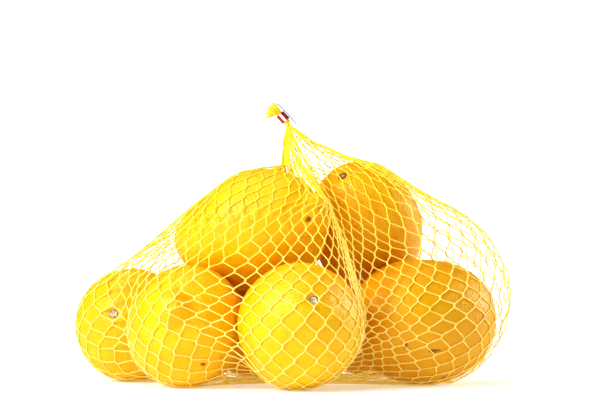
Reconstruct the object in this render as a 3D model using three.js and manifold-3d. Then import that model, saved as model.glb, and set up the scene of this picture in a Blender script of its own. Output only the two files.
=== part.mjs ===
// A knitted tube net of lemons, gathered to a neck and shut with a clip.
// Millimetres, +Z up, -Y is the front, and the net rests on z = 0.
// The net with all that it holds is one solid, out to the form that the tight net takes.

import * as THREE from "three";
import { ConvexHull } from "three/addons/math/ConvexHull.js";
import { mergeVertices } from "three/addons/utils/BufferGeometryUtils.js";
import Module from "manifold-3d";

const wasm = await Module();
wasm.setup();

// ---- Driving dimensions ----

const YARN = 0.6;                          // the net's thickness where it is pressed flat
const GAP = 0.3;                           // air between two pieces that touch

// Every lemon is an ellipsoid about its stem-to-tip axis. `yaw` turns the axis from the
// front (-Y) towards +X, and `pitch` lifts it.
const LEMONS = {
  front: { at: [4.2, -61.4, 32.9], radius: 31.9, half: 35.7, yaw: 12, pitch: 23 },
  frontLeft: { at: [-54.2, -35, 32.2], radius: 30.9, half: 35.6, yaw: -12, pitch: 18 },
  left: { at: [-86.5, 22.5, 30.5], radius: 30.3, half: 35.7, yaw: -14, pitch: 12 },
  right: { at: [68.4, -12.3, 34], radius: 33, half: 44, yaw: 125, pitch: 3.6 },
  topLeft: { at: [-25, -11.6, 81.8], radius: 28, half: 44.3, yaw: 57, pitch: 28 },
  topRight: { at: [39.5, 15.4, 84.4], radius: 29.2, half: 37.9, yaw: -30, pitch: 45 },
  backLeft: { at: [-16.7, 28.6, 31.2], radius: 31, half: 37.2, yaw: 79, pitch: 0 },
  backRight: { at: [45.6, 63.5, 31.2], radius: 31, half: 37.2, yaw: 93, pitch: 4 },
};
const NIPPLE = { radius: 8, half: 9, inset: 4 };    // the knob at a lemon's tip
const TIP_SHOWS = ["frontLeft", "right", "topLeft", "backLeft"];   // the axis ends in the tip

// The loose net stands off the lemons on the right, and its gathers spread out below the
// neck, mostly to the right, as if it lay on these ellipsoids.
const LOOSE_NET = { at: [54, 5, 46], semi: [63.5, 46, 56] };
const GATHERS = [
  { at: [3.4, 0, 132.4], semi: [6.6, 6, 1] },
  { at: [8.8, 0, 124.4], semi: [12.6, 11, 2] },
  { at: [16, 2, 119.5], semi: [16, 12, 2] },
];

const HEART = new THREE.Vector3(2, 0, 41);          // the net is seen from here as a star
const NECK_FOOT = new THREE.Vector3(-1.5, 0, 137);  // where the tent ends and the neck begins
const NECK_RADIUS = 3.2;
const COLUMNS = 60;                                 // facets round the net
const COURSES = 50;                                 // facets from the neck to the base
const ROUNDS = 400;                                 // steps in which the net pulls itself tight
const BRIDGING = 0.9;                               // 0 sinks in between lemons, 1 is a hull
const LAID_FLAT = 35;                               // below this height it bridges more and more
const FILLET = 2.5;                                 // how much the bunched neck fills its foot

const BAND = { at: [-5, 0, 142.1], tilt: -43, length: 5, radius: 2.1, wall: 0.4 };
const BAR = { length: 15, width: 2.4, thickness: 0.6, bend: 0.5, lift: 2.58 };
const TUFT = { length: 9, radius: 4, lobes: 7, ragged: 0.5 };

// ---- Helpers ----

const COLOURS = {
  net: new THREE.MeshStandardMaterial({ color: 0xf5cf2a, roughness: 0.6, metalness: 0 }),
  band: new THREE.MeshStandardMaterial({ color: 0xc8323c, roughness: 0.5, metalness: 0 }),
  bar: new THREE.MeshStandardMaterial({ color: 0xc9d0dc, roughness: 0.35, metalness: 0.9 }),
};

// Unit vector of an axis that starts from the front and turns by yaw, then lifts by pitch.
function axisOf(yaw, pitch) {
  const turn = THREE.MathUtils.degToRad(yaw);
  const lift = THREE.MathUtils.degToRad(pitch);
  return new THREE.Vector3(
    Math.sin(turn) * Math.cos(lift),
    -Math.cos(turn) * Math.cos(lift),
    Math.sin(lift),
  );
}

// A solid of the boolean library from a closed geometry.
function toSolid(geometry) {
  const bare = geometry.clone();
  bare.deleteAttribute("normal");
  bare.deleteAttribute("uv");
  const merged = mergeVertices(bare, 1e-4);
  return new wasm.Manifold(new wasm.Mesh({
    numProp: 3,
    vertProperties: Float32Array.from(merged.attributes.position.array),
    triVerts: Uint32Array.from(merged.index.array),
  }));
}

function toGeometry(solid) {
  const mesh = solid.getMesh();
  const geometry = new THREE.BufferGeometry();
  geometry.setAttribute("position", new THREE.BufferAttribute(mesh.vertProperties, 3));
  geometry.setIndex(new THREE.BufferAttribute(mesh.triVerts, 1));
  geometry.computeVertexNormals();
  return geometry;
}

// A closed skin from rings of points that run from the top down, counter-clockwise seen
// from above, with one point at each end.
function skin(top, rings, bottom) {
  const points = [top, ...rings.flat(), bottom];
  const count = rings[0].length;
  const last = points.length - 1;
  const index = [];
  for (let side = 0; side < count; side += 1) {
    const next = (side + 1) % count;
    index.push(0, 1 + side, 1 + next);
    for (let ring = 0; ring + 1 < rings.length; ring += 1) {
      const upper = 1 + ring * count;
      const lower = upper + count;
      index.push(upper + side, lower + side, lower + next);
      index.push(upper + side, lower + next, upper + next);
    }
    const foot = 1 + (rings.length - 1) * count;
    index.push(last, foot + next, foot + side);
  }
  const geometry = new THREE.BufferGeometry();
  const flat = points.flatMap((point) => [point.x, point.y, point.z]);
  geometry.setAttribute("position", new THREE.Float32BufferAttribute(flat, 3));
  geometry.setIndex(index);
  geometry.computeVertexNormals();
  return geometry;
}

// ---- What the net lies on ----

// Each form is kept as a centre and a matrix that turns its ellipsoid into a unit ball.
function unitBallOf(centre, semi, axis) {
  const turn = new THREE.Quaternion().setFromUnitVectors(new THREE.Vector3(0, 0, 1), axis);
  const scale = new THREE.Vector3(...semi);
  const matrix = new THREE.Matrix4().compose(centre, turn, scale);
  return matrix.invert();
}

const uprightForm = ({ at, semi }) => (
  unitBallOf(new THREE.Vector3(...at), semi, new THREE.Vector3(0, 0, 1))
);

function formsUnderTheNet() {
  const forms = [];
  for (const [name, lemon] of Object.entries(LEMONS)) {
    const axis = axisOf(lemon.yaw, lemon.pitch);
    const centre = new THREE.Vector3(...lemon.at);
    const wide = lemon.radius + YARN;
    forms.push(unitBallOf(centre, [wide, wide, lemon.half + YARN], axis));
    const towardsTip = TIP_SHOWS.includes(name) ? 1 : -1;
    const knob = centre.clone().addScaledVector(axis, towardsTip * (lemon.half - NIPPLE.inset));
    forms.push(unitBallOf(knob, [NIPPLE.radius, NIPPLE.radius, NIPPLE.half], axis));
  }
  forms.push(uprightForm(LOOSE_NET));
  return forms;
}

// How far a form reaches from HEART along a direction, or 0 where it lies aside.
function reachOf(form, direction) {
  const start = HEART.clone().applyMatrix4(form);
  const end = HEART.clone().add(direction).applyMatrix4(form);
  const step = end.sub(start);
  const a = step.lengthSq();
  const b = start.dot(step);
  const c = start.lengthSq() - 1;
  const root = b * b - a * c;
  return root > 0 ? Math.max(0, (-b + Math.sqrt(root)) / a) : 0;
}

// ---- The tight net ----

// Directions from HEART in rings about the neck, close together near it.
function directions() {
  const pole = NECK_FOOT.clone().sub(HEART);
  const turn = new THREE.Quaternion().setFromUnitVectors(
    new THREE.Vector3(0, 0, 1), pole.clone().normalize(),
  );
  const first = Math.atan(NECK_RADIUS / pole.length());
  const rings = [];
  for (let course = 0; course < COURSES; course += 1) {
    const part = course / COURSES;
    const fall = first + (Math.PI - first) * part ** 1.25;
    const ring = [];
    for (let column = 0; column < COLUMNS; column += 1) {
      const round = (2 * Math.PI * column) / COLUMNS;
      ring.push(new THREE.Vector3(
        Math.sin(fall) * Math.cos(round), Math.sin(fall) * Math.sin(round), Math.cos(fall),
      ).applyQuaternion(turn));
    }
    rings.push(ring);
  }
  return rings;
}

// The length along a ray at which the four neighbours' pull is level.
function pulledTo(place, ray, neighbours) {
  const mean = new THREE.Vector3();
  let total = 0;
  for (const { point, width } of neighbours) {
    const pull = width / Math.max(point.distanceTo(place), 1e-6);
    mean.addScaledVector(point, pull);
    total += pull;
  }
  return mean.divideScalar(total).sub(HEART).dot(ray);
}

const floorReach = (ray) => (ray.z < 0 ? HEART.z / -ray.z : Infinity);

// A film from `top` to `bottom` shrinks on to the least reach of every ray and the floor,
// and spans hollows by up to `bridge` millimetres.
function shrinkFilm(rays, least, top, bottom, bridge) {
  const points = rays.map((ring, course) => ring.map((ray, column) => (
    HEART.clone().addScaledVector(ray, Math.max(least[course][column], 20))
  )));
  for (let round = 0; round < ROUNDS; round += 1) {
    for (let course = 0; course < COURSES; course += 1) {
      for (let column = 0; column < COLUMNS; column += 1) {
        const ray = rays[course][column];
        const place = points[course][column];
        const up = course > 0 ? points[course - 1][column] : top;
        const down = course + 1 < COURSES ? points[course + 1][column] : bottom;
        const left = points[course][(column + COLUMNS - 1) % COLUMNS];
        const right = points[course][(column + 1) % COLUMNS];
        const tall = up.distanceTo(down) / 2;
        const wide = left.distanceTo(right) / 2;
        const level = pulledTo(place, ray, [
          { point: up, width: wide }, { point: down, width: wide },
          { point: left, width: tall }, { point: right, width: tall },
        ]);
        const lowest = least[course][column];
        const held = THREE.MathUtils.clamp(level, lowest, lowest + bridge);
        place.copy(HEART).addScaledVector(ray, Math.min(held, floorReach(ray)));
      }
    }
  }
  return points;
}

// How far the hull of all the forms reaches along every ray.
function hullReach(rays, forms) {
  const cloud = [];
  for (const form of forms) {
    const back = form.clone().invert();
    const ball = new THREE.IcosahedronGeometry(1, 6).attributes.position;
    for (let corner = 0; corner < ball.count; corner += 3) {
      const point = new THREE.Vector3().fromBufferAttribute(ball, corner).applyMatrix4(back);
      cloud.push(point.setZ(Math.max(point.z, 0)));
    }
  }
  const hull = new ConvexHull().setFromPoints(cloud);
  return rays.map((ring) => ring.map((ray) => (
    hull.intersectRay(new THREE.Ray(HEART, ray), new THREE.Vector3()).distanceTo(HEART)
  )));
}

// The net bridges most of the way between what it lies on, and then runs up to the neck.
function tightNet() {
  const rays = directions();
  const forms = formsUnderTheNet();
  const gathers = GATHERS.map(uprightForm);
  const furthest = (group, ray) => Math.max(...group.map((form) => reachOf(form, ray)));
  const touch = rays.map((ring) => ring.map((ray) => (
    Math.min(floorReach(ray), furthest(forms, ray))
  )));
  const hull = hullReach(rays, forms);
  const top = NECK_FOOT.clone();
  const slope = (HEART.x - NECK_FOOT.x) / (NECK_FOOT.z - HEART.z);
  const bottom = new THREE.Vector3(HEART.x + slope * HEART.z, 0, 0);
  const crown = HEART.clone().lerp(NECK_FOOT, hull[0][0] / NECK_FOOT.distanceTo(HEART));
  const film = shrinkFilm(rays, touch, crown, bottom, Infinity);
  const draped = rays.map((ring, course) => ring.map((ray, column) => {
    const sunk = film[course][column].distanceTo(HEART);
    const bridged = hull[course][column];
    const height = HEART.z + ray.z * bridged;
    const share = THREE.MathUtils.smoothstep(height, 0, LAID_FLAT);
    const laid = THREE.MathUtils.lerp(sunk, bridged, THREE.MathUtils.lerp(1, BRIDGING, share));
    return Math.max(laid, furthest(gathers, ray));
  }));
  draped[0].fill(NECK_FOOT.distanceTo(HEART));
  const points = shrinkFilm(rays, draped, top, bottom, FILLET);
  for (const point of points.flat().filter(({ z }) => z < 0.02)) {
    point.setZ(0);
  }
  return { points, bottom };
}

// ---- The neck, through the band to the cut tuft ----

const along = new THREE.Vector3(0, 0, 1).applyAxisAngle(
  new THREE.Vector3(0, 1, 0), THREE.MathUtils.degToRad(BAND.tilt),
);
const towardsBar = new THREE.Vector3(along.z, 0, -along.x);
const bandAt = new THREE.Vector3(...BAND.at);

function neck() {
  const inside = BAND.radius - GAP;
  const reach = BAND.length / 2 + GAP;
  // The tuft spreads away from the bar, so its sections shift as they widen.
  const tuftSection = (part, radius) => {
    const shift = radius + TUFT.ragged - inside;
    const centre = bandAt.clone().addScaledVector(along, reach + TUFT.length * part);
    return [centre.addScaledVector(towardsBar, -shift), radius, along];
  };
  const upright = new THREE.Vector3(0, 0, 1);
  const stations = [
    [NECK_FOOT.clone().addScaledVector(upright, -6), NECK_RADIUS, upright],
    [NECK_FOOT.clone(), NECK_RADIUS - 0.1, upright],
    [bandAt.clone().addScaledVector(along, -reach), inside, along],
    [bandAt.clone().addScaledVector(along, reach), inside, along],
    tuftSection(0.2, TUFT.radius * 0.75),
    tuftSection(0.5, TUFT.radius),
    tuftSection(0.85, TUFT.radius * 0.8),
  ];
  const sides = 28;
  const rings = stations.map(([centre, radius, axis], station) => {
    const turn = new THREE.Quaternion().setFromUnitVectors(upright, axis);
    const ragged = station > 3 ? TUFT.ragged : 0;
    return Array.from({ length: sides }, (_, side) => {
      const round = (2 * Math.PI * side) / sides;
      const wide = radius + ragged * Math.sin(TUFT.lobes * round);
      return new THREE.Vector3(wide * Math.cos(round), wide * Math.sin(round), 0)
        .applyQuaternion(turn).add(centre);
    });
  });
  const tip = tuftSection(1, TUFT.radius * 0.8)[0];
  return skin(tip, rings.reverse(), stations[0][0]);
}

function filledNet() {
  const { points, bottom } = tightNet();
  const net = toSolid(skin(NECK_FOOT, points, bottom));
  return toGeometry(net.add(toSolid(neck())));
}

// ---- The closure ----

// A strip wrapped once round the neck, as a ring about its local Z.
function clipBand() {
  const outer = BAND.radius + BAND.wall;
  const half = BAND.length / 2;
  const profile = [[BAND.radius, -half], [outer, -half], [outer, half], [BAND.radius, half]];
  const points = [...profile, profile[0]].map(([x, y]) => new THREE.Vector2(x, y));
  return new THREE.LatheGeometry(points, 32).rotateX(Math.PI / 2);
}

// A thin metal strip with a shallow bow, as a swept profile.
function clipBar() {
  const half = BAR.length / 2;
  const profile = new THREE.Shape();
  profile.moveTo(-half, 0);
  profile.quadraticCurveTo(0, BAR.bend, half, 0);
  profile.lineTo(half, BAR.thickness);
  profile.quadraticCurveTo(0, BAR.bend + BAR.thickness, -half, BAR.thickness);
  profile.closePath();
  const solid = new THREE.ExtrudeGeometry(profile, {
    depth: BAR.width, bevelEnabled: false, curveSegments: 12,
  });
  return solid.translate(0, 0, -BAR.width / 2);
}

// ---- Assembly ----

function named(name, geometry, material) {
  const mesh = new THREE.Mesh(geometry, material);
  mesh.name = name;
  return mesh;
}

const pack = new THREE.Group();
const net = named("filled_net", filledNet(), COLOURS.net);
pack.add(net);

const band = named("clip_band", clipBand(), COLOURS.band);
band.position.copy(bandAt);
band.quaternion.setFromUnitVectors(new THREE.Vector3(0, 0, 1), along);
pack.add(band);

const bar = named("clip_bar", clipBar(), COLOURS.bar);
bar.rotation.y = THREE.MathUtils.degToRad(90 + BAND.tilt);
bar.rotateX(Math.PI / 2);
bar.position.copy(bandAt).addScaledVector(towardsBar, BAR.lift);
pack.add(bar);

// The origin is the centre of the footprint's box, on the surface that the net rests on.
const box = new THREE.Box3().setFromObject(net);
const middle = box.getCenter(new THREE.Vector3());
pack.position.set(-middle.x, -middle.y, -box.min.z);

export default pack;
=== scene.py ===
# %% [markdown]
# # A net of lemons
# A grocer's net is a knitted tube of thin plastic yarn. It is filled with fruit, gathered at the
# top, and shut with a clip. Here the CAD frame holds the pack's outer form and its closure. This
# script fills that form with separate lemons, lays a real net of yarns over them, and dresses
# the closure. Lengths in the tables are in millimetres, and `MM` turns them into metres.

# %% The frame
import math

import bpy
import numpy as np
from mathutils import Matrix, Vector
from mathutils.bvhtree import BVHTree


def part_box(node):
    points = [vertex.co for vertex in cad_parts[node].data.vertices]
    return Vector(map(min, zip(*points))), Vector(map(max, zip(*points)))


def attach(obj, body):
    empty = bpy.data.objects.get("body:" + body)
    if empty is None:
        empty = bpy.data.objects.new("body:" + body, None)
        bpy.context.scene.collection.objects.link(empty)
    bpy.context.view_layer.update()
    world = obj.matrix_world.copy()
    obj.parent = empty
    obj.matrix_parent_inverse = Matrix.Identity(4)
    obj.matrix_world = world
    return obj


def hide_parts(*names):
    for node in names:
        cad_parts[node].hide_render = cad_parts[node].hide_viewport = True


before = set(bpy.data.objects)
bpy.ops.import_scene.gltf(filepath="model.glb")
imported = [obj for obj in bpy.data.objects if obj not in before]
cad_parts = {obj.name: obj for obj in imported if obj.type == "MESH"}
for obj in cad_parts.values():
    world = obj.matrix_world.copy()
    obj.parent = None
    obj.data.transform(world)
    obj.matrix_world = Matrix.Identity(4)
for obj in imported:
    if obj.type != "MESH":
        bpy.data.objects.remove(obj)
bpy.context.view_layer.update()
MM = 0.001

BAND_AT = np.array([-5.0, 0.0, 142.1])      # the middle of the clip's band as it was planned
shown_band = np.array(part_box("clip_band")).mean(0) / MM
SHIFT = shown_band - BAND_AT                # the CAD frame is centred anew, and the tables follow
print("tables move by", SHIFT.round(2), "mm")


# %% [markdown]
# ## Camera
# The pack is seen from the front, almost level, from a little over a metre away. A long lens
# keeps the round fruit from swelling at the edges of the view.

# %% Camera
CAMERA_AT = (7.5, -1245, 70)
CAMERA_LIFT = 1.19          # degrees that it looks up
CAMERA_LENS = 137.3

camera_data = bpy.data.cameras.new("camera")
camera_data.lens = CAMERA_LENS
camera = bpy.data.objects.new("camera", camera_data)
camera.location = Vector(CAMERA_AT) * MM
camera.rotation_euler = (math.radians(90 + CAMERA_LIFT), 0, 0)
bpy.context.scene.collection.objects.link(camera)
bpy.context.scene.camera = camera


# %% [markdown]
# ## Floor and light
# Glossy yellow fruit looks best in a bright white room. One broad soft light from the upper left
# models the round forms, a weaker one from the front gives the peel its sheen, one from the right
# and behind draws a rim, and one above lights the neck. A white world fills the shade. The world
# is brighter to the eye than as a light, so that the backdrop stays white while the shade keeps
# its depth. The floor glows more and more with distance for the same reason. A plain tone curve
# with a little more contrast keeps the yellows clean.

# %% Tone curve
scene = bpy.context.scene
scene.view_settings.view_transform = "Standard"
scene.view_settings.look = "High Contrast"


# %% White world
WORLD_SEEN = 1.05
WORLD_LIGHT = 0.16

world = bpy.data.worlds.new("white_room")
world.use_nodes = True
scene.world = world
tree = world.node_tree
tree.nodes.clear()
path = tree.nodes.new("ShaderNodeLightPath")
seen = tree.nodes.new("ShaderNodeBackground")
seen.inputs["Color"].default_value = (1, 1, 1, 1)
seen.inputs["Strength"].default_value = WORLD_SEEN
fill = tree.nodes.new("ShaderNodeBackground")
fill.inputs["Color"].default_value = (1, 1, 1, 1)
fill.inputs["Strength"].default_value = WORLD_LIGHT
either = tree.nodes.new("ShaderNodeMixShader")
out = tree.nodes.new("ShaderNodeOutputWorld")
tree.links.new(path.outputs["Is Camera Ray"], either.inputs[0])
tree.links.new(fill.outputs[0], either.inputs[1])
tree.links.new(seen.outputs[0], either.inputs[2])
tree.links.new(either.outputs[0], out.inputs[0])


# %% Soft lights
def soft_light(name, at, aim, size, power):
    """A square softbox of `size` metres at `at`, turned to `aim`."""
    data = bpy.data.lights.new(name, "AREA")
    data.size = size
    data.energy = power
    light = bpy.data.objects.new(name, data)
    light.location = at
    light.rotation_euler = (Vector(aim) - Vector(at)).to_track_quat("-Z", "Y").to_euler()
    scene.collection.objects.link(light)
    return light


soft_light("key_light", (-0.95, -0.68, 0.74), (0, 0, 0.05), 0.6, 11)
soft_light("rim_light", (0.95, 0.40, 0.42), (0.03, 0, 0.05), 0.45, 5)
soft_light("front_light", (-0.25, -1.05, 0.95), (0, 0, 0.05), 0.7, 3)
soft_light("top_light", (-0.2, 0.2, 1.2), (0, 0, 0), 0.8, 2.5)


# %% White floor
def new_material(name):
    """A material with only its Principled shader, which is handed back with the node tree."""
    material = bpy.data.materials.new(name)
    material.use_nodes = True
    tree = material.node_tree
    shader = tree.nodes["Principled BSDF"]
    return material, tree, shader


FLOOR_HALF = 30
FLOOR_GLOW = (0.27, 1.0)             # near the pack and far from it
GLOW_GROWS = (0.12, 1.2)             # metres from the middle between which it grows
FLOOR_GLOW_AS_LIGHT = 0.5            # the glow is meant for the eye, and lights the fruit less

floor_material, tree, shader = new_material("white_floor")
shader.inputs["Base Color"].default_value = (0.93, 0.93, 0.93, 1)
shader.inputs["Roughness"].default_value = 0.55
strength = tree.nodes.new("ShaderNodeMapRange")
strength.inputs["To Min"].default_value = FLOOR_GLOW_AS_LIGHT
tree.links.new(tree.nodes.new("ShaderNodeLightPath").outputs["Is Camera Ray"], strength.inputs["Value"])
tree.links.new(strength.outputs[0], shader.inputs["Emission Strength"])
from_middle = tree.nodes.new("ShaderNodeVectorMath")
from_middle.operation = "LENGTH"
tree.links.new(tree.nodes.new("ShaderNodeTexCoord").outputs["Object"], from_middle.inputs[0])
glow = tree.nodes.new("ShaderNodeMapRange")
glow.interpolation_type = "SMOOTHSTEP"
glow.inputs["From Min"].default_value, glow.inputs["From Max"].default_value = GLOW_GROWS
glow.inputs["To Min"].default_value, glow.inputs["To Max"].default_value = FLOOR_GLOW
tree.links.new(from_middle.outputs["Value"], glow.inputs["Value"])
tree.links.new(glow.outputs[0], shader.inputs["Emission Color"])
floor_mesh = bpy.data.meshes.new("floor")
corners = [(-1, -1), (1, -1), (1, 1), (-1, 1)]
floor_mesh.from_pydata([(x * FLOOR_HALF, y * FLOOR_HALF, 0) for x, y in corners], [], [(0, 1, 2, 3)])
floor_mesh.materials.append(floor_material)
floor = bpy.data.objects.new("floor", floor_mesh)
scene.collection.objects.link(floor)


# %% [markdown]
# ## Eight lemons, each its own shape
# A lemon is a long round body with a blunt nipple at the flower end, a shallow furrow round
# it, and a low shoulder at the stem end. Sculpting eight of them would be slow. One function
# instead gives the reach of the peel in every direction from the lemon's middle, with a few
# slow waves that differ from fruit to fruit. The same function later keeps the net off the
# peel, so that the yarns lie on the fruit exactly.

# %% Where each lemon lies
# `at` is the middle, `yaw` turns the shown end from the front (-Y) towards +X, `pitch` lifts it.
LEMONS = {
    "front": dict(at=(4.2, -61.4, 32.9), radius=31.9, half=35.7, yaw=12, pitch=23, shows="stem"),
    "front_left": dict(at=(-54.2, -35, 32.2), radius=30.9, half=35.6, yaw=-12, pitch=18, shows="tip"),
    "left": dict(at=(-86.5, 22.5, 30.5), radius=30.3, half=35.7, yaw=-14, pitch=12, shows="stem"),
    "right": dict(at=(68.4, -12.3, 34), radius=32.8, half=44, yaw=125, pitch=3.6, shows="tip"),
    "top_left": dict(at=(-23.2, -11.6, 82.8), radius=31.6, half=46.3, yaw=57, pitch=9, shows="tip"),
    "top_right": dict(at=(39.7, 15.6, 84.8), radius=29.2, half=37.9, yaw=-30, pitch=45, shows="stem"),
    "back_left": dict(at=(-16.7, 28.6, 31.2), radius=31, half=37.2, yaw=79, pitch=0, shows="tip"),
    "back_right": dict(at=(45.6, 63.5, 31.2), radius=31, half=37.2, yaw=93, pitch=4, shows="stem"),
}
FULLNESS = {"top_left": 1.92, "top_right": 2.0, "right": 2.1}  # 2 is an ellipse, more is blunter
PRESSED = {                          # which way a side faces, how deep it is flattened, how wide
    "top_left": [((-0.76, 0.0, 0.65), 8.0, 0.6), ((0.90, -0.05, -0.43), -5.0, 0.46)],
    "top_right": [((-0.56, -0.15, -0.81), -5.0, 0.44)],
}


# %% A lemon's own axes
def axis_of(yaw, pitch):
    """Unit vector that starts at the front, turns by yaw, and lifts by pitch (degrees)."""
    turn, lift = math.radians(yaw), math.radians(pitch)
    flat = math.cos(lift)
    return np.array([math.sin(turn) * flat, -math.cos(turn) * flat, math.sin(lift)])


def lemon_axes(lemon):
    """Columns are the lemon's own X, Y and Z, where Z runs out through the nipple."""
    towards_tip = axis_of(lemon["yaw"], lemon["pitch"])
    if lemon["shows"] == "stem":
        towards_tip = -towards_tip
    aside = np.cross([0, 0, 1], towards_tip)
    aside /= np.linalg.norm(aside)
    return np.stack([aside, np.cross(towards_tip, aside), towards_tip], 1)


# %% The peel's reach in every direction
NIPPLE_RISE, NIPPLE_SPAN = 5.0, 0.23       # height in mm, half-angle in radians
FURROW_DEPTH, FURROW_AT, FURROW_SPAN = 0.9, 0.36, 0.1
SHOULDER_RISE, SHOULDER_SPAN = 1.2, 0.34
STEM_PIT, STEM_PIT_SPAN = 1.8, 0.09
WAVES = 7                                  # slow waves that make each fruit uneven


def lemon_reach(directions, name, pit=STEM_PIT):
    """Millimetres from the lemon's middle to its peel, for unit directions in its own axes."""
    lemon = LEMONS[name]
    dice = np.random.default_rng(40 + list(LEMONS).index(name))
    from_tip = np.arccos(np.clip(directions[..., 2], -1, 1))
    from_stem = math.pi - from_tip
    around = np.arctan2(directions[..., 1], directions[..., 0])
    half, full = lemon["half"] - 1.5, FULLNESS.get(name, 2)
    lengthwise = np.abs(np.cos(from_tip)) / half
    crosswise = np.sin(from_tip) / lemon["radius"]
    reach = (lengthwise**full + crosswise**full) ** (-1 / full)
    reach += NIPPLE_RISE * np.exp(-((from_tip / NIPPLE_SPAN) ** 4))
    one_side = 0.6 + 0.4 * np.cos(around - dice.uniform(0, 2 * math.pi))
    reach -= FURROW_DEPTH * one_side * np.exp(-(((from_tip - FURROW_AT) / FURROW_SPAN) ** 2))
    reach += SHOULDER_RISE * np.exp(-((from_stem / SHOULDER_SPAN) ** 4))
    reach -= pit * np.exp(-((from_stem / STEM_PIT_SPAN) ** 2))
    for facing, depth, span in PRESSED.get(name, []):
        away = np.arccos(np.clip(directions @ (np.array(facing) @ lemon_axes(lemon)), -1, 1))
        reach -= depth * np.exp(-((away / span) ** 2))
    for _ in range(WAVES):
        wave_axis = dice.normal(size=3)
        wave_axis /= np.linalg.norm(wave_axis)
        wave = dice.uniform(1.5, 5.5) * (directions @ wave_axis) + dice.uniform(0, 2 * math.pi)
        reach += dice.uniform(0.15, 0.45) * np.sin(wave)
    return reach


# %% [markdown]
# ## Peel
# Lemon peel is a saturated warm yellow, waxy, and covered in oil glands that dent it at
# about a millimetre. Light enters a little way and comes back warmer. The colour wanders slowly
# over the fruit, some glands are darker, and a few dry brown scars break it. The dents are a
# bump, as they are finer than the mesh.

# %% Node helpers
def node(tree, kind, **inputs):
    """A new shader node with some of its inputs set by name."""
    made = tree.nodes.new(kind)
    for name, value in inputs.items():
        made.inputs[name.replace("_", " ")].default_value = value
    return made


def ramp(tree, source, stops):
    """A colour ramp fed by `source`, with stops of (position, colour)."""
    made = tree.nodes.new("ShaderNodeValToRGB")
    tree.links.new(source, made.inputs[0])
    elements = made.color_ramp.elements
    while len(elements) < len(stops):
        elements.new(0.5)
    for element, (position, colour) in zip(elements, stops):
        element.position = position
        element.color = (*colour, 1)
    return made.outputs[0]


def mix_colour(tree, factor, first, second, way="MIX"):
    """Mixes two colours, each a socket or a plain colour."""
    made = tree.nodes.new("ShaderNodeMix")
    made.data_type = "RGBA"
    made.blend_type = way
    for socket, value in ((made.inputs[0], factor), (made.inputs[6], first), (made.inputs[7], second)):
        if isinstance(value, bpy.types.NodeSocket):
            tree.links.new(value, socket)
        elif isinstance(value, tuple):
            socket.default_value = (*value, 1)
        else:
            socket.default_value = value
    return made.outputs[2]


def effect(name, inputs, outputs):
    """A shader node group with named inputs (name, kind, start value) and outputs (name, kind)."""
    group = bpy.data.node_groups.new(name, "ShaderNodeTree")
    for label, kind, start in inputs:
        socket = group.interface.new_socket(name=label, in_out="INPUT", socket_type="NodeSocket" + kind)
        socket.default_value = start
    for label, kind in outputs:
        group.interface.new_socket(name=label, in_out="OUTPUT", socket_type="NodeSocket" + kind)
    return group, group.nodes.new("NodeGroupInput").outputs, group.nodes.new("NodeGroupOutput").inputs


def placed(tree, group, **values):
    """One use of an effect in a material, with its own values or links."""
    made = tree.nodes.new("ShaderNodeGroup")
    made.node_tree = group
    for name, value in values.items():
        socket = made.inputs[name.replace("_", " ")]
        if isinstance(value, bpy.types.NodeSocket):
            tree.links.new(value, socket)
        else:
            socket.default_value = value
    return made.outputs


# %% Lemon peel
PEEL_DEEP = (0.96, 0.54, 0.001)
PEEL_LIGHT = (0.99, 0.65, 0.004)
PEEL_GLAND = (0.90, 0.38, 0.001)
# Painted shade: the fruit that lie away from the key light are drawn darker and more orange with this
# colour.
PEEL_ORANGE_SHADE = (0.70, 0.255, 0.001)
SCAR = (0.30, 0.11, 0.012)


peel_group, given, put = effect(
    "lemon_peel",
    [("Where", "Vector", (0, 0, 0)), ("Mark From", "Float", 0.78), ("Blemish", "Float", 0.0),
     ("Ripe", "Float", 0.0)],
    [("Colour", "Color"), ("Roughness", "Float"), ("Normal", "Vector")],
)
links = peel_group.links
tone = node(peel_group, "ShaderNodeTexNoise", Scale=45.0, Detail=4.0, Roughness=0.55)
glands = node(peel_group, "ShaderNodeTexVoronoi", Scale=720.0, Randomness=0.9)
scratch = node(peel_group, "ShaderNodeTexNoise", Scale=70.0, Detail=6.0, Roughness=0.7, Distortion=1.4)
uneven = node(peel_group, "ShaderNodeTexNoise", Scale=160.0, Detail=2.0)
for texture in (tone, glands, scratch, uneven):
    links.new(given["Where"], texture.inputs["Vector"])

colour = ramp(peel_group, tone.outputs["Fac"], [(0.3, PEEL_DEEP), (0.68, PEEL_LIGHT)])
spots = ramp(peel_group, glands.outputs["Distance"], [(0.12, (0.35,) * 3), (0.42, (0,) * 3)])
colour = mix_colour(peel_group, spots, colour, PEEL_GLAND)
# Painted shade: the peel is mixed towards the darker orange by the fruit's share.
colour = mix_colour(peel_group, given["Ripe"], colour, PEEL_ORANGE_SHADE)
mark_to = node(peel_group, "ShaderNodeMath")
mark_to.inputs[1].default_value = 0.05
links.new(given["Mark From"], mark_to.inputs[0])
marks = node(peel_group, "ShaderNodeMapRange", To_Max=0.9)
links.new(scratch.outputs["Fac"], marks.inputs["Value"])
links.new(given["Mark From"], marks.inputs["From Min"])
links.new(mark_to.outputs[0], marks.inputs["From Max"])
colour = mix_colour(peel_group, marks.outputs[0], colour, SCAR)
ragged = node(peel_group, "ShaderNodeMath")
ragged.operation = "MULTIPLY"
links.new(given["Blemish"], ragged.inputs[0])
links.new(uneven.outputs["Fac"], ragged.inputs[1])
blemish = ramp(peel_group, ragged.outputs[0], [(0.12, (0,) * 3), (0.24, (0.9,) * 3)])
colour = mix_colour(peel_group, blemish, colour, SCAR)
links.new(colour, put["Colour"])

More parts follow.
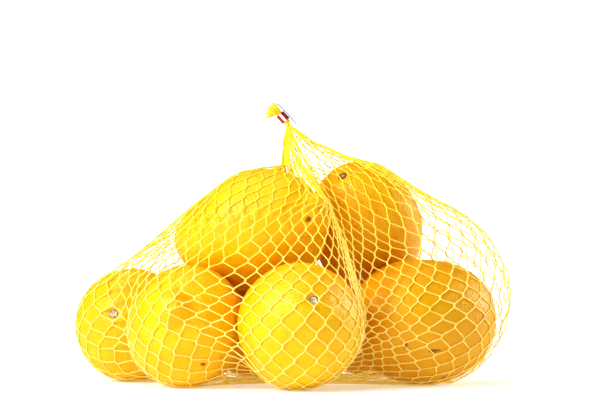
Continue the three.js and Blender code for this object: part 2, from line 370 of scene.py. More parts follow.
gloss = node(peel_group, "ShaderNodeMapRange", To_Min=0.36, To_Max=0.52)
links.new(uneven.outputs["Fac"], gloss.inputs["Value"])
links.new(gloss.outputs[0], put["Roughness"])
dents = node(peel_group, "ShaderNodeBump", Strength=0.55, Distance=0.00045)
links.new(glands.outputs["Distance"], dents.inputs["Height"])
ripple = node(peel_group, "ShaderNodeBump", Strength=0.5, Distance=0.0009)
links.new(uneven.outputs["Fac"], ripple.inputs["Height"])
links.new(dents.outputs["Normal"], ripple.inputs["Normal"])
links.new(ripple.outputs["Normal"], put["Normal"])


def peel_material(name, seed, scars, orange_shade):
    """Waxy peel. `seed` moves the pattern, `scars` from 0 to 1 is how marked the fruit is, and
    `orange_shade` from 0 to 1 is how much painted shade, drawn as a darker orange, it gets."""
    material, tree, shader = new_material(name)
    place = node(tree, "ShaderNodeTexCoord").outputs["Object"]
    shift = node(tree, "ShaderNodeMapping", Location=(seed * 0.37, seed * 0.71, seed * 0.13))
    tree.links.new(place, shift.inputs["Vector"])
    blemish = node(tree, "ShaderNodeAttribute")
    blemish.attribute_name = "blemish"
    peel = placed(
        tree,
        peel_group,
        Where=shift.outputs["Vector"],
        Mark_From=0.80 - 0.12 * scars,
        Blemish=blemish.outputs["Fac"],
        Ripe=orange_shade,
    )
    tree.links.new(peel["Colour"], shader.inputs["Base Color"])
    tree.links.new(peel["Roughness"], shader.inputs["Roughness"])
    tree.links.new(peel["Normal"], shader.inputs["Normal"])
    shader.inputs["Subsurface Weight"].default_value = 0.12
    shader.inputs["Subsurface Radius"].default_value = (1.0, 0.45, 0.05)
    shader.inputs["Subsurface Scale"].default_value = 0.003
    shader.inputs["Specular IOR Level"].default_value = 0.5
    return material


# %% Mesh helper
def mesh_piece(name, points, faces, material, slot, **measures):
    """A smooth mesh piece that rides on the pack. Points are an array in millimetres, and
    each measure is a value per point that its material can read by name."""
    mesh = bpy.data.meshes.new(name)
    mesh.from_pydata(((points + SHIFT) * MM).tolist(), [], [list(face) for face in faces])
    for measure, values in measures.items():
        mesh.attributes.new(measure, "FLOAT", "POINT").data.foreach_set("value", values)
    mesh.shade_smooth()
    mesh.materials.append(material)
    piece = bpy.data.objects.new(name, mesh)
    scene.collection.objects.link(piece)
    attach(piece, "root")
    return piece


# %% A lemon's mesh and its place
LEMON_RINGS, LEMON_SIDES = 84, 112


def polar_grid(rings, sides):
    """Unit directions from +Z down to -Z, one at each end, and the faces that join them."""
    falls = np.linspace(0, math.pi, rings + 1)[1:-1]
    rounds = np.arange(sides) * 2 * math.pi / sides
    fall, round_ = np.meshgrid(falls, rounds, indexing="ij")
    body = np.stack([np.sin(fall) * np.cos(round_), np.sin(fall) * np.sin(round_), np.cos(fall)], 2)
    points = np.concatenate([[[0, 0, 1]], body.reshape(-1, 3), [[0, 0, -1]]])
    faces = []
    for side in range(sides):
        after = (side + 1) % sides
        faces.append((0, 1 + side, 1 + after))
        for ring in range(rings - 2):
            upper = 1 + ring * sides
            lower = upper + sides
            faces.append((upper + side, lower + side, lower + after, upper + after))
        foot = 1 + (rings - 2) * sides
        faces.append((len(points) - 1, foot + after, foot + side))
    return points, faces


def in_place(points, name):
    """Turns points from a lemon's own axes into the pack."""
    return points @ lemon_axes(LEMONS[name]).T + np.array(LEMONS[name]["at"])


# From 0 to 1: how much painted shade, drawn as a darker orange, each fruit gets, and how marked it is.
ORANGE_SHADE = {"right": 0.40, "top_right": 0.28, "left": 0.08, "back_right": 0.15}
SCARRED = {"right": 1.0, "front_left": 0.7, "top_left": 0.4, "front": 0.3}
BLEMISHES = {                        # (x, z) on the fruit's front, half-width and half-height
    "front_left": [(-44.8, 13.3, 1.5, 1.2)],
    "top_left": [(8.0, 86.9, 1.4, 1.7)],
    "right": [(73.5, 19.2, 3.4, 0.9), (58.0, 22.0, 1.2, 2.2)],
}


def blemish_at(points, name):
    """How deep each point lies in one of the fruit's dry brown spots, from 0 to 1."""
    depth = np.zeros(len(points))
    for x, z, wide, high in BLEMISHES.get(name, []):
        spot = np.exp(-(((points[:, 0] - x) / wide) ** 2) - ((points[:, 2] - z) / high) ** 2)
        depth = np.maximum(depth, spot * (points[:, 1] < LEMONS[name]["at"][1]))
    return depth


directions, lemon_faces = polar_grid(LEMON_RINGS, LEMON_SIDES)
lemons = []
for number, name in enumerate(LEMONS):
    reach = lemon_reach(directions, name)
    peel = peel_material("peel_" + name, number, SCARRED.get(name, 0.2), ORANGE_SHADE.get(name, 0.0))
    points = in_place(directions * reach[:, None], name)
    blemish = blemish_at(points, name)
    piece = mesh_piece("lemon_" + name, points, lemon_faces, peel, "net_yarn", blemish=blemish)
    lemons.append(piece)
print("lemons:", len(lemons), "of", len(lemon_faces), "faces each")


# %% [markdown]
# ## Stem buttons
# Where the stalk was cut, a small woody star of dried sepals stays in its pit. It is a
# low dome with five lobes and a cupped middle, pale grey where the wood was cut and dark
# brown round it.

# %% Woody button
BUTTON_RINGS = [(0.0, -0.35), (0.22, -0.3), (0.4, 0.25), (0.62, 0.35), (0.85, 0.1), (1.0, -0.5)]
BUTTON_SIDES = 40


wood_group, given, put = effect(
    "dry_wood",
    [("Place", "Vector", (0, 0, 0)), ("Share", "Float", 0.0), ("Rim", "Color", (0, 0, 0, 1)),
     ("Middle", "Color", (1, 1, 1, 1))],
    [("Colour", "Color"), ("Normal", "Vector")],
)
grain = node(wood_group, "ShaderNodeTexNoise", Scale=900.0, Detail=3.0)
wood_group.links.new(given["Place"], grain.inputs["Vector"])
outwards = node(wood_group, "ShaderNodeMapRange", From_Min=0.42, From_Max=0.62)
wood_group.links.new(given["Share"], outwards.inputs["Value"])
rings = mix_colour(wood_group, outwards.outputs[0], given["Middle"], given["Rim"])
specks = ramp(wood_group, grain.outputs["Fac"], [(0.35, (0.45,) * 3), (0.6, (1.0,) * 3)])
wood_group.links.new(mix_colour(wood_group, 1.0, rings, specks, "MULTIPLY"), put["Colour"])
rough = node(wood_group, "ShaderNodeBump", Strength=0.8, Distance=0.0003)
wood_group.links.new(grain.outputs["Fac"], rough.inputs["Height"])
wood_group.links.new(rough.outputs["Normal"], put["Normal"])


def button_material(name, rim, middle):
    """Pale cut wood in the middle and dark sepals round it, by the distance from its axis."""
    material, tree, shader = new_material(name)
    place = node(tree, "ShaderNodeTexCoord").outputs["Object"]
    share = node(tree, "ShaderNodeAttribute")
    share.attribute_name = "share"
    wood = placed(
        tree, wood_group, Place=place, Share=share.outputs["Fac"], Rim=(*rim, 1), Middle=(*middle, 1)
    )
    tree.links.new(wood["Colour"], shader.inputs["Base Color"])
    tree.links.new(wood["Normal"], shader.inputs["Normal"])
    shader.inputs["Roughness"].default_value = 0.85
    return material


def stem_button(name, radius, rim, middle):
    """A five-lobed button in the pit at a lemon's stem end."""
    seat = lemon_reach(np.array([0, 0, -1.0]), name) + 0.4
    points, faces, shares = [], [], []
    for share, height in BUTTON_RINGS:
        for side in range(BUTTON_SIDES):
            turn = 2 * math.pi * side / BUTTON_SIDES
            wide = radius * share * (1 + 0.2 * share**2 * math.cos(5 * turn))
            points.append((wide * math.cos(turn), wide * math.sin(turn), -(seat + height)))
            shares.append(share)
    for ring in range(len(BUTTON_RINGS) - 1):
        for side in range(BUTTON_SIDES):
            after = (side + 1) % BUTTON_SIDES
            inner, outer = ring * BUTTON_SIDES, (ring + 1) * BUTTON_SIDES
            faces.append((inner + side, inner + after, outer + after, outer + side))
    material = button_material("stem_wood_" + name, rim, middle)
    points = in_place(np.array(points), name)
    return mesh_piece("stem_" + name, points, faces, material, "net_yarn", share=shares)


stem_button("front", 3.9, (0.30, 0.15, 0.05), (0.80, 0.79, 0.74))
stem_button("left", 4.0, (0.10, 0.035, 0.045), (0.72, 0.66, 0.62))
stem_button("top_right", 3.4, (0.10, 0.05, 0.02), (0.34, 0.28, 0.20))
stem_button("back_right", 3.0, (0.16, 0.09, 0.03), (0.50, 0.46, 0.38))


# %% [markdown]
# ## The net, draped by calculation
# The net is knitted as a tube. Every yarn zigzags down the tube and meets its left and right
# neighbour in turn, so the joints form diamonds. Blender's cloth would need a very fine
# sheet for this, and it can't thread single yarns. Here the joints are points, the yarns
# between them are lengths that can't stretch, and a short calculation pulls the tube from
# the clip down over the fruit: it evens out, tightens, slides until the fruit holds it, and
# never enters a lemon or the floor. First the CAD form and the lemons are read as a map of how
# far they reach from its heart, as this gives the net its starting place and its outer limit.

# %% How far the form and the lemons reach from the heart
HEART = np.array([2.0, 0.0, 41.0])
NECK_FOOT = np.array([-1.5, 0.0, 137.0])
NECK_RADIUS = 3.2
MAP_FALLS, MAP_ROUNDS = 100, 180
MAP_CROWDING = 1.2                   # above 1, the map's rows lie closer together near the neck
CAST_FROM = 300                      # mm from the heart, well outside the pack
LEAST_LIFT = 0.6                     # mm from the peel to where the net starts

pole = NECK_FOOT - HEART
pole_length = np.linalg.norm(pole)
pole /= pole_length
map_x = np.cross([0, 1, 0], pole)
map_x /= np.linalg.norm(map_x)
map_y = np.cross(pole, map_x)
first_fall = math.atan(NECK_RADIUS / pole_length)
falls = first_fall + (math.pi - first_fall) * np.linspace(0, 1, MAP_FALLS) ** MAP_CROWDING
rounds = np.arange(MAP_ROUNDS) * 2 * math.pi / MAP_ROUNDS

depsgraph = bpy.context.evaluated_depsgraph_get()
form = BVHTree.FromObject(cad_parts["filled_net"], depsgraph)
peels = [BVHTree.FromObject(piece, depsgraph) for piece in lemons]
skin = np.zeros((MAP_FALLS, MAP_ROUNDS, 3))
for row, fall in enumerate(falls):
    for column, round_ in enumerate(rounds):
        aside = math.cos(round_) * map_x + math.sin(round_) * map_y
        ray = math.sin(fall) * aside + math.cos(fall) * pole
        hit = form.ray_cast(Vector((HEART + SHIFT) * MM), Vector(ray))[0]
        far = np.linalg.norm(np.array(hit) / MM - SHIFT - HEART)
        outside = Vector((HEART + SHIFT + CAST_FROM * ray) * MM)
        for peel in peels:
            touch = peel.ray_cast(outside, Vector(-ray))[3]
            if touch is not None:
                far = max(far, CAST_FROM - touch / MM + LEAST_LIFT)
        skin[row, column] = HEART + far * ray
skin_reach = np.linalg.norm(skin - HEART, axis=2)
print("the net starts", skin_reach.min().round(1), "to", skin_reach.max().round(1), "mm from the heart")


def reach_at(points):
    """The form's reach along the ray through each point, read from the map."""
    arms = points - HEART
    arms /= np.linalg.norm(arms, axis=1)[:, None]
    fall = np.arccos(np.clip(arms @ pole, -1, 1))
    turn = np.arctan2(arms @ map_y, arms @ map_x) % (2 * math.pi)
    row = np.interp(fall, falls, np.arange(MAP_FALLS))
    column = turn / (2 * math.pi) * MAP_ROUNDS
    row0 = np.minimum(row.astype(int), MAP_FALLS - 2)
    column0 = column.astype(int) % MAP_ROUNDS
    column1 = (column0 + 1) % MAP_ROUNDS
    down, across = row - row0, column - np.floor(column)
    upper = skin_reach[row0, column0] * (1 - across) + skin_reach[row0, column1] * across
    lower = skin_reach[row0 + 1, column0] * (1 - across) + skin_reach[row0 + 1, column1] * across
    return upper * (1 - down) + lower * down


# %% [markdown]
# The knitter's counts come next: how many joints go round the tube, and how long a yarn
# runs from one joint to the next. The net is bunched into one deep pleat at the front, right
# of the middle, and lies loosely on the right, so more columns start in both places. The
# number of rows follows from the length of the form's sides, with the row height that a
# diamond has when the tube is spread that wide.

# %% Columns, rows and starting places
COLUMNS = 63
YARN_RUN = 9.2                       # mm of yarn from joint to joint
BUNCHES = (                          # where columns crowd: turn, width, and how much
    (math.radians(-59), math.radians(5), 5.0),
    (math.radians(-14), math.radians(28), 0.35),
)
TAUT_BY_HEIGHT = ((40, 85), (0.92, 1.05))     # heights in mm, and how tight the rows are there
LEAST_ROW = 0.35                     # a row is at least this much of a yarn run in height
SIDE_SHARE = 70                      # percentile of the sides' lengths that sets the row count

arcs = np.linalg.norm(skin - np.roll(skin, -1, axis=1), axis=2)
girth = arcs.sum(1)
widest_row = arcs[girth.argmax()]
turns = np.linspace(-math.pi, math.pi, 2001)
density = np.interp(turns % (2 * math.pi), rounds, widest_row) / widest_row.mean()
for bunch_at, bunch_width, crowding in BUNCHES:
    density *= 1 + crowding * np.exp(-(((turns - bunch_at) / bunch_width) ** 2))
share = np.concatenate([[0], np.cumsum((density[1:] + density[:-1]) / 2)])
share /= share[-1]

spread = girth / COLUMNS
row_height = np.sqrt(np.maximum(YARN_RUN**2 - (spread / 2) ** 2, (LEAST_ROW * YARN_RUN) ** 2))
tautness = np.interp(skin[:, :, 2], *TAUT_BY_HEIGHT)
steps = np.linalg.norm(skin[1:] - skin[:-1], axis=2)
rows_so_far = np.cumsum(steps / (row_height[:, None] * tautness)[1:], 0)
rows_so_far = np.concatenate([np.zeros((1, MAP_ROUNDS)), rows_so_far])
ROWS = int(round(np.percentile(rows_so_far[-1], SIDE_SHARE))) + 1
print("net of", COLUMNS, "columns and", ROWS, "rows, widest girth", girth.max().round(), "mm")


def on_form(part, turn):
    """The point that lies `part` of the way down the form's side at this turn."""
    column = (turn % (2 * math.pi)) / (2 * math.pi) * MAP_ROUNDS
    first = int(column) % MAP_ROUNDS
    blend = column - math.floor(column)
    place = np.zeros(3)
    for index, weight in ((first, 1 - blend), ((first + 1) % MAP_ROUNDS, blend)):
        rows = rows_so_far[:, index]
        wanted = part * rows[-1]
        place += weight * np.array([np.interp(wanted, rows, skin[:, index, k]) for k in range(3)])
    return place


# %% [markdown]
# The top row is held in the clip and the bottom row is drawn together under the pile. In
# between, each point knows its upper and lower neighbours on both sides. The yarns are
# sorted into four sets in which no point occurs twice, so a whole set is tightened at once.

# %% The joints and the yarns between them
CLIP_MOUTH = np.array([-3.1, 0.0, 140.0])
MOUTH_RADIUS, GATHER_RADIUS = 1.7, 4.0
UNEVEN = 0.07                        # how much one run of yarn differs from the next

dice = np.random.default_rng(7)
joints = np.zeros((ROWS + 1, COLUMNS, 3))
for row in range(ROWS + 1):
    for column in range(COLUMNS):
        turn = np.interp(((column + 0.5 * (row % 2)) / COLUMNS) % 1.0, share, turns)
        joints[row, column] = on_form(row / ROWS, turn)
joints += dice.normal(0, 0.5, joints.shape)


def ring_of(centre, radius, offset):
    """One row of joints on a level ring."""
    turn = (np.arange(COLUMNS) + offset) * 2 * math.pi / COLUMNS
    return centre + radius * np.stack([np.cos(turn), np.sin(turn), 0 * turn], 1)


base = HEART + (HEART - NECK_FOOT) * HEART[2] / (NECK_FOOT[2] - HEART[2])
base[2] = 0.6
joints[0] = ring_of(CLIP_MOUTH, MOUTH_RADIUS, 0)
joints[0] += (joints[0] - CLIP_MOUTH) * -dice.uniform(0, 0.75, (COLUMNS, 1))
joints[-1] = ring_of(base, GATHER_RADIUS, 0.5 * (ROWS % 2))
number = np.arange((ROWS + 1) * COLUMNS).reshape(ROWS + 1, COLUMNS)


def neighbour(row, side):
    """Columns of the neighbours on one side (0 left, 1 right) in the rows above and below."""
    return (np.arange(COLUMNS) + side - (1 if row % 2 == 0 else 0)) % COLUMNS


yarn_sets = []
for parity in (0, 1):
    for side in (0, 1):
        upper = np.concatenate([number[row] for row in range(parity, ROWS, 2)])
        lower = np.concatenate([number[row + 1][neighbour(row, side)] for row in range(parity, ROWS, 2)])
        length = YARN_RUN * dice.uniform(1 - UNEVEN, 1 + UNEVEN, len(upper))
        yarn_sets.append((upper, lower, length))

around = np.zeros((number.size, 4), int)
for row in range(ROWS + 1):
    above, below = max(row - 1, 0), min(row + 1, ROWS)
    for side in (0, 1):
        around[number[row], side] = number[above][neighbour(row, side)]
        around[number[row], 2 + side] = number[below][neighbour(row, side)]
moves = np.ones(number.size)
moves[number[0]] = 0
moves[number[-1]] = 0


# %% [markdown]
# Each round of the calculation evens the net out, takes up every yarn that is too long, and
# pushes the joints out of the fruit. On the right the net is loose and stiff enough to stand
# off the fruit by itself, so an unseen egg-shaped form carries it. Joints that touch something
# slide less, as plastic yarn grips the wax.

# %% What the net lies on
YARN_LIFT = 0.5                      # mm from the peel to the middle of a yarn
FLOOR_LIFT = 0.45
LOOSE_CENTRE = np.array([54.0, 8.0, 46.0])
LOOSE_HALF = np.array([64.5, 32.0, 56.0])
LOOSE_FROM, LOOSE_PUSH = 52, 0.5     # mm to the right of the middle, and the share done a round
TENT_X, TENT_Z = (-36, -50), (50, 58)    # on the left the net spans from fruit to fruit
TENT_GAP, TENT_PUSH = 1.0, 0.5       # mm inside the form, and the share done a round
NIP_X = (24, 40, 58, 82)                 # where the net is pinched between two lemons
NIP_Y = (-22, -19, -15, -8)
NIP_Z = (62, 63.5, 65.5, 68)
NIP_PULL = (0, 0.12, 0.12, 0)
NIP_SPAN = 9.0
OUTER_SLACK = 1.0                    # mm that the net may stand outside the CAD form
lemon_frames = {
    name: (np.array(lemon["at"], float), lemon_axes(lemon)) for name, lemon in LEMONS.items()
}


def off_the_fruit(points, lift=YARN_LIFT):
    """Pushes points out of every lemon and off the floor, and says which ones touched."""
    touched = np.zeros(len(points), bool)
    for name, (centre, axes) in lemon_frames.items():
        arms = (points - centre) @ axes
        far = np.linalg.norm(arms, axis=1)
        near = np.nonzero(far < LEMONS[name]["half"] + 7)[0]
        if not len(near):
            continue
        arms = arms[near] / far[near, None]
        push = lemon_reach(arms, name, pit=0) + lift - far[near]
        inside = push > 0
        hit = near[inside]
        points[hit] += (push[inside, None] * arms[inside]) @ axes.T
        touched[hit] = True
    low = points[:, 2] < FLOOR_LIFT
    points[low, 2] = FLOOR_LIFT
    return touched | low


def off_the_loose_form(points):
    """Holds the loose net out on the right."""
    arms = (points - LOOSE_CENTRE) / LOOSE_HALF
    far = np.linalg.norm(arms, axis=1)
    hit = np.nonzero((far < 1) & (points[:, 0] > LOOSE_FROM))[0]
    slope = arms[hit] / LOOSE_HALF
    steep = np.linalg.norm(slope, axis=1)[:, None]
    points[hit] += LOOSE_PUSH * ((1 - far[hit]) * far[hit])[:, None] * slope / steep**2


def span_the_tent(points):
    """Keeps the net close to the CAD form where it spans from fruit to fruit on the left."""
    arms = points - HEART
    far = np.linalg.norm(arms, axis=1)
    share = np.interp(points[:, 0], TENT_X[::-1], (1, 0)) * np.interp(points[:, 2], TENT_Z, (0, 1))
    short = np.maximum(0, reach_at(points) - TENT_GAP - far) * share * moves
    points += arms * (TENT_PUSH * short / far)[:, None]


def nip(points):
    """Draws the net into the pinch between the two lemons on the right."""
    along = np.interp(points[:, 0], NIP_X, NIP_PULL) * (points[:, 1] < 0)
    pull_y = np.interp(points[:, 0], NIP_X, NIP_Y) - points[:, 1]
    pull_z = np.interp(points[:, 0], NIP_X, NIP_Z) - points[:, 2]
    share = along * np.exp(-(pull_y**2 + pull_z**2) / NIP_SPAN**2)
    points[:, 1] += share * pull_y
    points[:, 2] += share * pull_z


def inside_the_form(points):
    """Holds the net within the CAD form."""
    arms = points - HEART
    far = np.linalg.norm(arms, axis=1)
    over = np.maximum(0, far - reach_at(points) - OUTER_SLACK) * moves
    points -= arms * (over / far)[:, None]


# %% Draping
HOOP_SLACK = 0.7                     # 0 pulls as hard round the pack as down it, 1 only down
TIGHTENINGS = 2                      # passes over all yarns in a round
GRIP = 0.5                           # how much of its slide a joint loses on the peel
KEPT_DIGITS = 4                      # digits of a mm kept a round, so that every run ends alike


def drape(points, rounds, evening, drift):
    """Rounds of evening out, tightening and pushing out. `evening` is the share done across the
    net's surface and `drift` the share done within it. Gives back each joint's outward way."""
    for _ in range(rounds):
        before = points.copy()
        near = points[around]
        rows = points.reshape(ROWS + 1, COLUMNS, 3)
        level_mean = (np.roll(rows, 1, axis=1) + np.roll(rows, -1, axis=1)).reshape(-1, 3) / 2
        pull = near.mean(1) - points - HOOP_SLACK / 4 * (level_mean - points)
        across = near[:, 1] + near[:, 3] - near[:, 0] - near[:, 2]
        down = near[:, 2] + near[:, 3] - near[:, 0] - near[:, 1]
        normal = np.cross(down, across)
        normal /= np.linalg.norm(normal, axis=1)[:, None] + 1e-9
        level = (pull * normal).sum(1)[:, None] * normal
        points += moves[:, None] * (evening * level + drift * (pull - level))
        for _ in range(TIGHTENINGS):
            for upper, lower, length in yarn_sets:
                run = points[lower] - points[upper]
                long = np.linalg.norm(run, axis=1)
                both = np.maximum(moves[upper] + moves[lower], 1)
                take = np.maximum(0, 1 - length / np.maximum(long, 1e-6)) / both
                points[upper] += run * (take * moves[upper])[:, None]
                points[lower] -= run * (take * moves[lower])[:, None]
        off_the_loose_form(points)
        span_the_tent(points)
        nip(points)
        inside_the_form(points)
        touched = off_the_fruit(points)
        slip = points - before
        slip -= (slip * normal).sum(1)[:, None] * normal
        points -= GRIP * slip * (touched * moves)[:, None]
        points[:] = points.round(KEPT_DIGITS)
    return normal


flat_joints = joints.reshape(-1, 3)
drape(flat_joints, 150, 0.4, 0.04)
normals = drape(flat_joints, 150, 0.3, 0.02)
joints = flat_joints.reshape(ROWS + 1, COLUMNS, 3)
normals = normals.reshape(ROWS + 1, COLUMNS, 3)
runs = np.concatenate([
    np.linalg.norm(flat_joints[lower] - flat_joints[upper], axis=1) / length
    for upper, lower, length in yarn_sets
])
print("yarn runs against their length:", np.percentile(runs, [1, 50, 99]).round(2))


# %% [markdown]
# ## Yarns
# A yarn is a chain of tiny loops, about 0.8 mm thick, a little uneven. At each joint two
# neighbours are knitted side by side for almost 2 mm, which shows as a short double
# line. So each yarn is a tube along its own path with four stations a row: in and out of
# the joint, and two on the free run, which are pushed off the peel as the joints were.

# %% Paths of the yarns
YARN_RADIUS = 0.33
JOINT_LENGTH = 1.4
JOINT_LEAN = 0.25                    # joints lean, as one way of the diagonals runs straight
JOINT_ASIDE = 0.28                   # each yarn's middle from the joint's middle


def bunching(rows_down):
    """How thin a yarn is pressed in the neck, where all of them crowd into the clip."""
    return np.interp(rows_down, [0, 2, 7, 14], [0.45, 0.62, 0.9, 1])


def yarn_paths():
    """Points (yarn, station, xyz) and outward directions for every yarn of the net."""
    above = np.concatenate([joints[:1], joints[:-1]])
    below = np.concatenate([joints[1:], joints[-1:]])
    wale = np.empty_like(joints)
    for row in range(ROWS + 1):
        left, right = neighbour(row, 0), neighbour(row, 1)
        wale[row] = below[row][left] + below[row][right] - above[row][left] - above[row][right]
    wale /= np.linalg.norm(wale, axis=2)[:, :, None] + 1e-9
    aside = np.cross(wale, normals)
    aside /= np.linalg.norm(aside, axis=2)[:, :, None] + 1e-9
    thin = bunching(np.arange(ROWS + 1))
    paths, outward = [], []
    for yarn in range(2 * COLUMNS):
        column, odd_yarn = divmod(yarn, 2)
        stations, facing = [], []
        for row in range(ROWS + 1):
            at = (column + 1) % COLUMNS if odd_yarn and row % 2 == 0 else column
            side = 1 if (row % 2 == 0) != bool(odd_yarn) else -1
            middle = joints[row, at] + side * JOINT_ASIDE * thin[row] * aside[row, at]
            reach = JOINT_LENGTH / 2 * (wale[row, at] + JOINT_LEAN * aside[row, at])
            stations += [middle - reach, middle + reach]
            facing += [normals[row, at]] * 2
        stations, facing = np.array(stations), np.array(facing)
        gap = stations[2::2] - stations[1:-1:2]
        first = stations[1:-1:2] + gap * 0.33
        second = stations[1:-1:2] + gap * 0.67
        full = np.concatenate([stations[:1], np.stack([
            stations[1:-1:2], first, second, stations[2::2],
        ], 1).reshape(-1, 3), stations[-1:]])
        full_facing = np.concatenate([facing[:1], np.stack([
            facing[1:-1:2], facing[1:-1:2] * 0.67 + facing[2::2] * 0.33,
            facing[1:-1:2] * 0.33 + facing[2::2] * 0.67, facing[2::2],
        ], 1).reshape(-1, 3), facing[-1:]])
        paths.append(full)
        outward.append(full_facing)
    return np.array(paths), np.array(outward)


paths, outward = yarn_paths()
stations_down = np.linspace(0, ROWS, paths.shape[1])[None, :]
flat_paths = paths.reshape(-1, 3)
flat_paths += dice.normal(0, 0.08, flat_paths.shape)
off_the_fruit(flat_paths, YARN_RADIUS + 0.05)
print("yarns:", paths.shape[0], "with", paths.shape[1], "stations")


# %% Yarn material
YARN_PAINTED_GLOW = 0.12                     # painted glow: the yarns give off light of their own, standing in for light through thin plastic
CROWDED_PAINTED_TONE = (1.00, 0.76, 0.04)  # painted: crowded yarns drawn deeper, for the light passing through many layers


def yarn_material(name, colour, shade):
    """Glossy knitted plastic with a faint painted glow of its own colour. Fine chevrons along the
    yarn stand for its chain of loops.
    """
    material, tree, shader = new_material(name)
    along = node(tree, "ShaderNodeAttribute")
    along.attribute_name = "along"
    loops = node(tree, "ShaderNodeMath")
    loops.operation = "SINE"
    pace = node(tree, "ShaderNodeMath")
    pace.operation = "MULTIPLY"
    pace.inputs[1].default_value = 2 * math.pi / 1.3
    tree.links.new(along.outputs["Fac"], pace.inputs[0])
    tree.links.new(pace.outputs[0], loops.inputs[0])
    place = node(tree, "ShaderNodeTexCoord").outputs["Object"]
    fleck = node(tree, "ShaderNodeTexNoise", Scale=260.0, Detail=3.0)
    tree.links.new(place, fleck.inputs["Vector"])
    tone = ramp(tree, fleck.outputs["Fac"], [(0.3, shade), (0.6, colour)])
    bunched = node(tree, "ShaderNodeAttribute")
    bunched.attribute_name = "bunched"
    # Painted: where yarns crowd, the deeper look of many layers under the light is drawn into the
    # colour.
    tone = mix_colour(tree, bunched.outputs["Fac"], tone, CROWDED_PAINTED_TONE)
    tree.links.new(tone, shader.inputs["Base Color"])
    # Painted glow: the yarn gives off its own colour as light, so that it stays bright in the shade.
    tree.links.new(tone, shader.inputs["Emission Color"])
    shader.inputs["Emission Strength"].default_value = YARN_PAINTED_GLOW
    bump = node(tree, "ShaderNodeBump", Strength=0.4, Distance=0.0002)
    tree.links.new(loops.outputs[0], bump.inputs["Height"])
    tree.links.new(bump.outputs["Normal"], shader.inputs["Normal"])
    shader.inputs["Roughness"].default_value = 0.42
    shader.inputs["Subsurface Weight"].default_value = 0.3
    shader.inputs["Subsurface Radius"].default_value = (1.0, 0.8, 0.2)
    shader.inputs["Subsurface Scale"].default_value = 0.0008
    return material


YARN_COLOUR = (0.99, 0.82, 0.33)
YARN_SHADE = (0.97, 0.73, 0.14)
yarn_look = yarn_material("net_yarn", YARN_COLOUR, YARN_SHADE)


# %% Tubes along many paths at once
def tubes(paths, outward, radii, sides):
    """Closed tubes: points, faces and the distance along each yarn, all as arrays."""
    count, stations, _ = paths.shape
    tangent = np.gradient(paths, axis=1)
    tangent /= np.linalg.norm(tangent, axis=2)[:, :, None] + 1e-12
    up = outward - (outward * tangent).sum(2)[:, :, None] * tangent
    up /= np.linalg.norm(up, axis=2)[:, :, None] + 1e-12
    side = np.cross(tangent, up)
    turn = np.arange(sides) * 2 * math.pi / sides
    ring = np.cos(turn)[:, None] * up[:, :, None] + np.sin(turn)[:, None] * side[:, :, None]
    points = paths[:, :, None] + ring * radii[:, :, None, None]
    step = np.linalg.norm(np.diff(paths, axis=1), axis=2)
    along = np.concatenate([np.zeros((count, 1)), np.cumsum(step, 1)], 1)
    along = np.repeat(along[:, :, None], sides, axis=2)
    index = np.arange(count * stations * sides).reshape(count, stations, sides)
    after = np.roll(index, -1, axis=2)
    walls = np.stack([index[:, :-1], after[:, :-1], after[:, 1:], index[:, 1:]], 3).reshape(-1, 4)
    caps = [list(ring_[::-1]) for ring_ in index[:, 0]] + [list(ring_) for ring_ in index[:, -1]]
    return points.reshape(-1, 3), walls.tolist() + caps, along.reshape(-1)


YARN_SIDES = 5
# How crowded the yarns are towards the neck, which sets how much painted deeper colour they get.
crowded = np.interp(stations_down, [0, 4, 13, 20], [1, 0.9, 0.35, 0]) + np.zeros(paths.shape[:2])
crowded = np.repeat(crowded, YARN_SIDES, axis=1)
thickness = YARN_RADIUS * dice.uniform(0.88, 1.12, paths.shape[:2]) * bunching(stations_down)
for name, pick in (("net_yarns_a", slice(0, None, 2)), ("net_yarns_b", slice(1, None, 2))):
    points, faces, along = tubes(paths[pick], outward[pick], thickness[pick], YARN_SIDES)
    measures = dict(along=along, bunched=crowded[pick].reshape(-1))
    piece = mesh_piece(name, points, faces, yarn_look, "net_yarn", **measures)
    print(name, "faces:", len(faces))
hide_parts("filled_net")


# %% [markdown]
# ## The clip
# Above its neck the net is pulled through a printed foil band, squeezed by a bent aluminium
# bar, and cut off. The band and the bar are carried over from the CAD model and only get
# their finish here. The cut ends flare away from the bar as a tuft. Each yarn end is a
# tube that starts in the neck, runs through the band and then bends its own way, with a
# slight curl left from the knitting.

# %% Where the band sits
BAND_TILT = math.radians(-43)
BAND_LENGTH = 5.0

along_neck = np.array([math.sin(BAND_TILT), 0.0, math.cos(BAND_TILT)])
towards_bar = np.array([along_neck[2], 0.0, -along_neck[0]])


# %% Cut ends
ENDS = 150
END_RADIUS = 0.18
TUFT_FAN, TUFT_LEAN = (-4, 58), (-38, 38)    # degrees away from the bar, and to its sides
END_LENGTH = (4.5, 7.2)
END_CURL = (0.1, 0.45)
dice = np.random.default_rng(21)


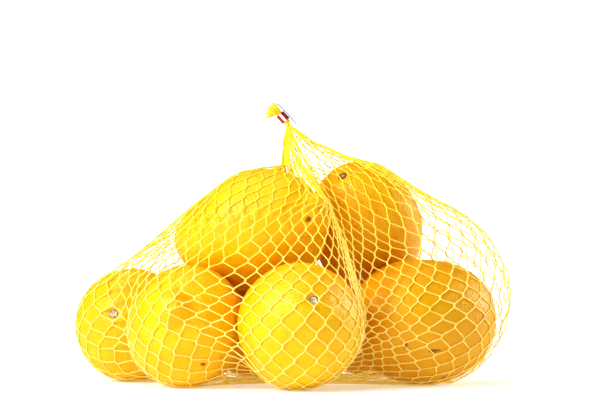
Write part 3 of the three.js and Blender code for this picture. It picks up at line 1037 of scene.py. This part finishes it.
def cut_ends():
    """Paths of the yarn ends, from the neck through the band to the ragged tuft."""
    paths = []
    for _ in range(ENDS):
        turn, out = dice.uniform(0, 2 * math.pi), math.sqrt(dice.uniform(0, 1))
        spot = out * (math.cos(turn) * towards_bar + math.sin(turn) * np.array([0, 1, 0]))
        fan = math.radians(dice.uniform(*TUFT_FAN) * (0.55 - 0.45 * math.cos(turn)))
        lean = math.radians(dice.uniform(*TUFT_LEAN))
        heading = math.cos(fan) * along_neck - math.sin(fan) * towards_bar
        heading = math.cos(lean) * heading + math.sin(lean) * np.array([0, 1, 0])
        length = dice.uniform(*END_LENGTH)
        start = BAND_AT - along_neck * (BAND_LENGTH / 2 + 0.6)
        path = []
        for part in np.linspace(0, 1, 5):
            squeeze = 1.45 - 0.15 * math.sin(math.pi * part)
            path.append(start + along_neck * part * (BAND_LENGTH + 0.8) + spot * squeeze)
        curl, phase = dice.uniform(*END_CURL), dice.uniform(0, 2 * math.pi)
        sway = np.cross(heading, dice.normal(size=3))
        sway /= np.linalg.norm(sway)
        for part in np.linspace(0.12, 1, 8):
            blend = min(1.0, 2.2 * part)
            direction = (1 - blend) * along_neck + blend * heading
            step = direction * length * part
            wave = curl * part * math.sin(7 * part + phase) * sway
            path.append(path[4] + step + wave + spot * 0.9 * part)
        paths.append(path)
    return np.array(paths)


ends = cut_ends()
facing = np.zeros_like(ends) + np.array([0, -1.0, 0])
end_radii = np.interp(np.arange(ends.shape[1]), [0, 4, 8, 12], [0.8, 0.8, 1.5, 1.7]) * END_RADIUS
end_radii = end_radii[None, :] * dice.uniform(0.85, 1.15, (ENDS, 1))
points, faces, along = tubes(ends, facing, end_radii, YARN_SIDES)
# The tuft's crowded ends get most of the painted deeper colour as well.
measures = dict(along=along, bunched=np.full(len(points), 0.8))
mesh_piece("net_tuft", points, faces, yarn_look, "net_yarn", **measures)
print("tuft spans", points.min(0).round(1), "to", points.max(0).round(1))


# %% [markdown]
# The band is thin printed foil: a white stripe between two red ones, wrapped so that the stripes
# run along the neck. Its wrinkles are fine ridges along the wrap. The bar is soft
# aluminium with a brushed, slightly dented face.

# %% Foil band
BAND_RED = (0.40, 0.045, 0.03)
BAND_WHITE = (0.86, 0.86, 0.88)


def striped_foil():
    """Red, white and red along the neck, by how far a point lies towards the bar."""
    material, tree, shader = new_material("striped_foil")
    place = node(tree, "ShaderNodeTexCoord").outputs["Object"]
    across = node(tree, "ShaderNodeVectorMath")
    across.operation = "DOT_PRODUCT"
    across.inputs[1].default_value = tuple(towards_bar / MM)
    tree.links.new(place, across.inputs[0])
    stripe = node(tree, "ShaderNodeMapRange")
    middle = float(shown_band @ towards_bar)
    stripe.inputs["From Min"].default_value = middle - 2.5
    stripe.inputs["From Max"].default_value = middle + 2.5
    tree.links.new(across.outputs["Value"], stripe.inputs["Value"])
    stops = [(0.30, BAND_RED), (0.34, BAND_WHITE), (0.56, BAND_WHITE), (0.60, BAND_RED)]
    colour = ramp(tree, stripe.outputs[0], stops)
    tree.links.new(colour, shader.inputs["Base Color"])
    wrinkle = node(tree, "ShaderNodeTexNoise", Scale=700.0, Detail=3.0, Distortion=0.8)
    tree.links.new(place, wrinkle.inputs["Vector"])
    bump = node(tree, "ShaderNodeBump", Strength=0.7, Distance=0.0003)
    tree.links.new(wrinkle.outputs["Fac"], bump.inputs["Height"])
    tree.links.new(bump.outputs["Normal"], shader.inputs["Normal"])
    shader.inputs["Roughness"].default_value = 0.32
    return material


def brushed_aluminium():
    """Bluish silver with fine lines across it and a few dents."""
    material, tree, shader = new_material("brushed_aluminium")
    place = node(tree, "ShaderNodeTexCoord").outputs["Object"]
    stretch = node(tree, "ShaderNodeMapping", Scale=(300.0, 6000.0, 300.0))
    tree.links.new(place, stretch.inputs["Vector"])
    brushed = node(tree, "ShaderNodeTexNoise", Scale=1.0, Detail=2.0)
    tree.links.new(stretch.outputs["Vector"], brushed.inputs["Vector"])
    tone = ramp(tree, brushed.outputs["Fac"], [(0.3, (0.36, 0.44, 0.60)), (0.7, (0.56, 0.64, 0.82))])
    tree.links.new(tone, shader.inputs["Base Color"])
    dents = node(tree, "ShaderNodeTexNoise", Scale=420.0, Detail=1.0)
    tree.links.new(place, dents.inputs["Vector"])
    bump = node(tree, "ShaderNodeBump", Strength=0.5, Distance=0.0004)
    tree.links.new(dents.outputs["Fac"], bump.inputs["Height"])
    tree.links.new(bump.outputs["Normal"], shader.inputs["Normal"])
    shader.inputs["Metallic"].default_value = 0.85
    shader.inputs["Roughness"].default_value = 0.34
    return material


for cad_name, finish in (("clip_band", striped_foil()), ("clip_bar", brushed_aluminium())):
    cad_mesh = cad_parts[cad_name].data
    cad_mesh.materials.clear()
    cad_mesh.materials.append(finish)
